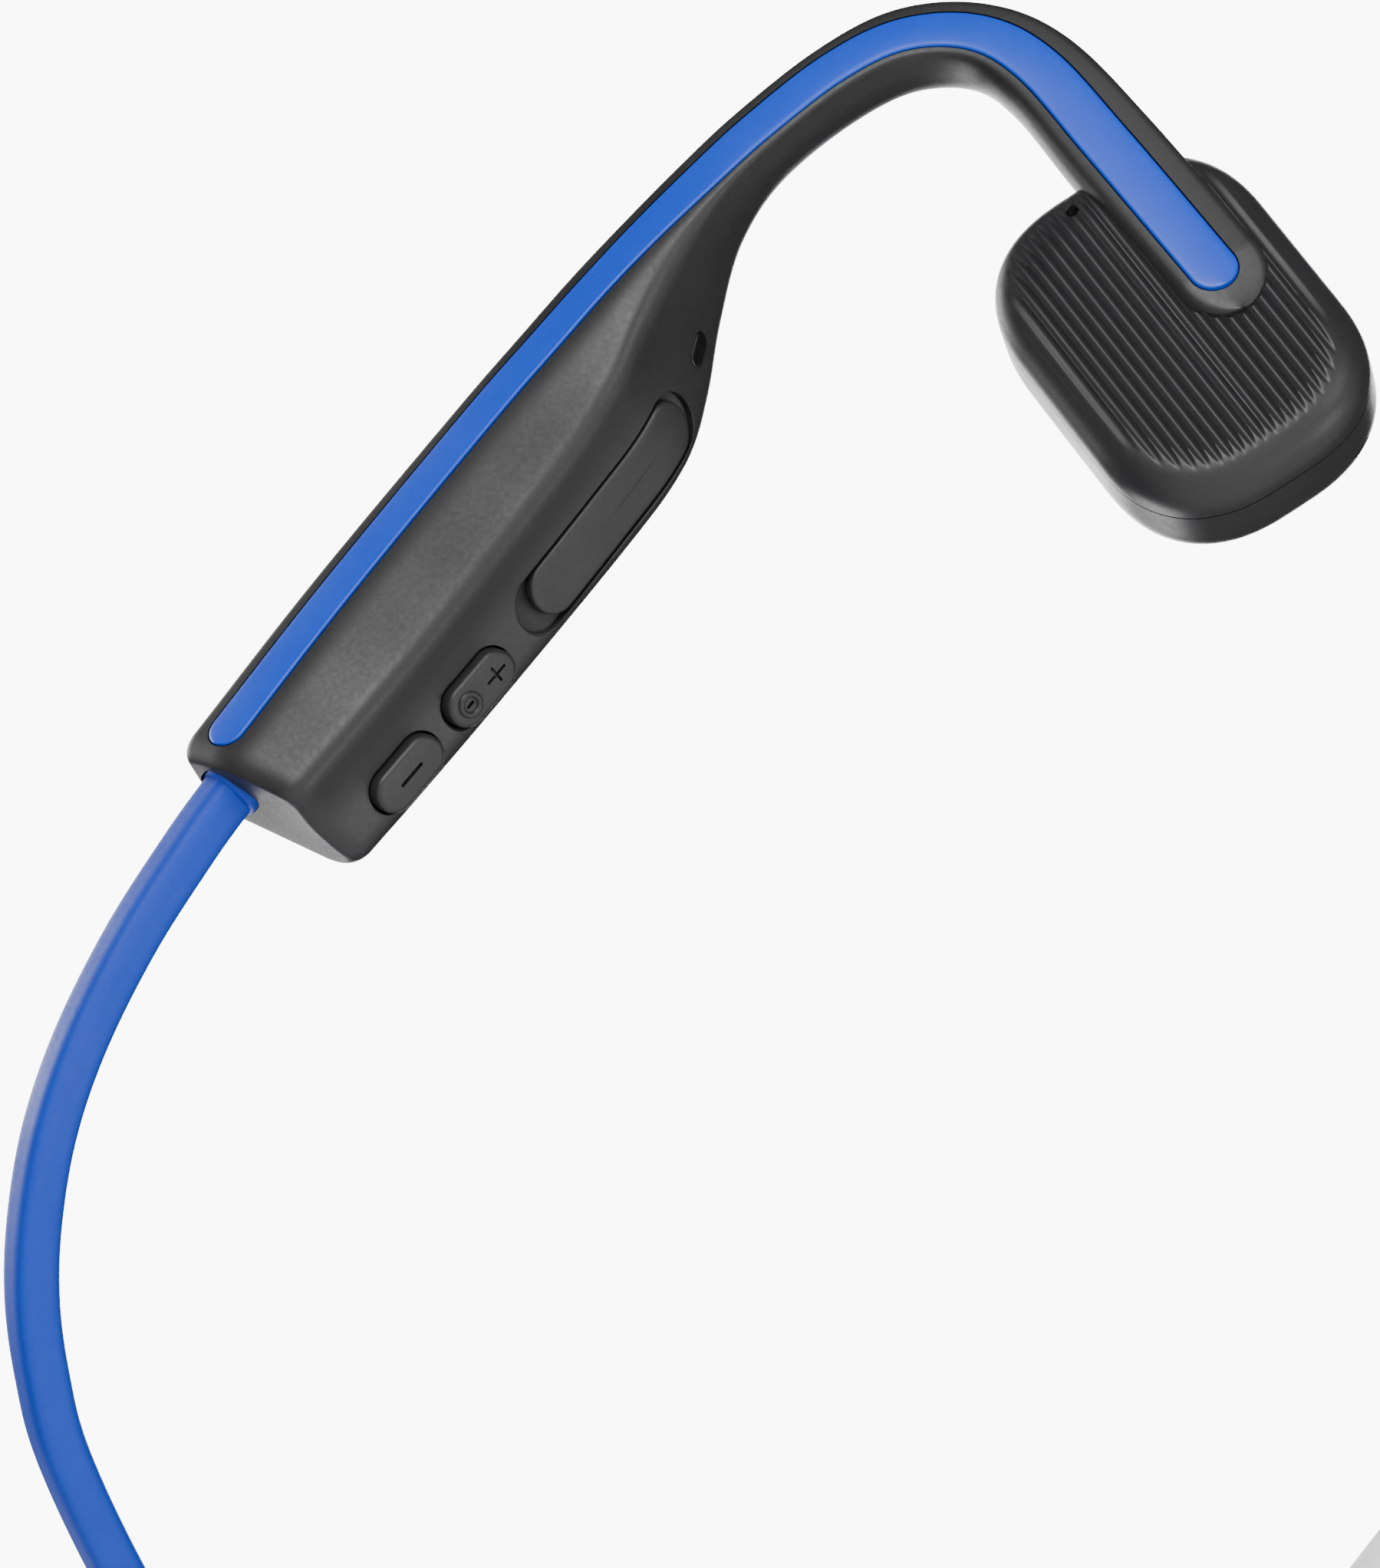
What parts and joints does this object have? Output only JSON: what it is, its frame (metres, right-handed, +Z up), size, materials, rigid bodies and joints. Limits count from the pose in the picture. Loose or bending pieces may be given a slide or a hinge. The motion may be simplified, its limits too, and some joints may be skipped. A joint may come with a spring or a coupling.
{
  "type": "bone conduction headphones",
  "caption": "Behind-the-head open-ear headphones: over-ear hooks end in flat transducer pods and join a sprung neckband, with press buttons and a covered charging port.",
  "frame": {"origin": "middle of the bounding box at its lowest level, where the headset stands on its transducers and its band", "axes": "+X to the wearer's right, +Y forward, +Z up, with the band resting behind and the ear hooks in front"},
  "size_m": [0.1566, 0.142, 0.0472],
  "materials": {
    "housing": "satin soft-touch charcoal plastic",
    "accent": "satin blue lacquer",
    "sleeve": "smooth blue silicone",
    "spring_steel": "drawn spring steel",
    "cable": "black rubber",
    "pad": "soft matte rubber",
    "magnet": "nickel plating",
    "copper": "copper",
    "keys": "satin charcoal plastic",
    "tin": "stamped steel",
    "board": "green solder mask",
    "chips": "black moulding compound",
    "light": "dark tinted lens",
    "pouch": "foil pouch"
  },
  "bodies": {
    "right_side": {"right_body_shell": "housing", "right_inner_cover": "housing", "right_accent_strip": "accent", "right_hook_wire": "spring_steel", "right_hook_cable": "cable", "right_transducer_cover": "housing", "right_transducer_seal": "cable", "right_back_shell": "housing", "right_contact_pad": "pad", "right_voice_coil": "copper", "right_spring_plate": "spring_steel", "right_end_collar": "accent", "right_band_sleeve": "sleeve", "right_band_spring": "spring_steel", "right_band_cable": "cable", "right_cover_screws": "spring_steel", "volume_switches": "tin", "charging_socket": "tin", "circuit_board": "board", "board_chips": "chips", "antenna": "copper", "status_light": "light", "microphone": "tin"},
    "left_side": {"left_body_shell": "housing", "left_inner_cover": "housing", "left_accent_strip": "accent", "left_hook_wire": "spring_steel", "left_hook_cable": "cable", "left_transducer_cover": "housing", "left_transducer_seal": "cable", "left_back_shell": "housing", "left_contact_pad": "pad", "left_voice_coil": "copper", "left_spring_plate": "spring_steel", "left_end_collar": "accent", "left_band_sleeve": "sleeve", "left_band_spring": "spring_steel", "left_band_cable": "cable", "left_cover_screws": "spring_steel", "multifunction_switch": "tin", "battery": "pouch", "battery_foam": "cable", "battery_board": "board"},
    "plus_power": {"plus_power_button": "keys"},
    "minus": {"minus_button": "keys"},
    "port": {"port_cover": "keys"},
    "multifunction": {"multifunction_button": "keys"},
    "right_driver": {"right_magnet": "magnet", "right_yoke": "spring_steel"},
    "left_driver": {"left_magnet": "magnet", "left_yoke": "spring_steel"}
  },
  "joints": [
    {"name": "band_flex", "type": "hinge", "parent": "right_side", "child": "left_side", "pos_m": [0, -0.06906, 0.00201], "axis": [0, -0.3404, 0.9403], "range_deg": [-8, 25], "stiffness_Nm_per_rad": 0.3},
    {"name": "plus_power_press", "type": "slide", "parent": "right_side", "child": "plus_power", "axis": [-0.0436, -0.3401, 0.9394], "range_m": [0, 0.0005], "stiffness_N_per_m": 2500},
    {"name": "minus_press", "type": "slide", "parent": "right_side", "child": "minus", "axis": [-0.0436, -0.3401, 0.9394], "range_m": [0, 0.0005], "stiffness_N_per_m": 2500},
    {"name": "multifunction_press", "type": "slide", "parent": "left_side", "child": "multifunction", "axis": [0.866, -0.1702, 0.4701], "range_m": [0, 0.0005], "stiffness_N_per_m": 2500},
    {"name": "port_cover_swing", "type": "hinge", "parent": "right_side", "child": "port", "pos_m": [0.06823, 0.02612, 0.0308], "axis": [0.999, -0.0148, 0.041], "range_deg": [0, 100]},
    {"name": "right_driver_shake", "type": "slide", "parent": "right_side", "child": "right_driver", "axis": [0.866, 0.1702, -0.4701], "range_m": [-0.0002, 0.0002], "stiffness_N_per_m": 20000},
    {"name": "left_driver_shake", "type": "slide", "parent": "left_side", "child": "left_driver", "axis": [-0.866, 0.1702, -0.4701], "range_m": [-0.0002, 0.0002], "stiffness_N_per_m": 20000}
  ]
}
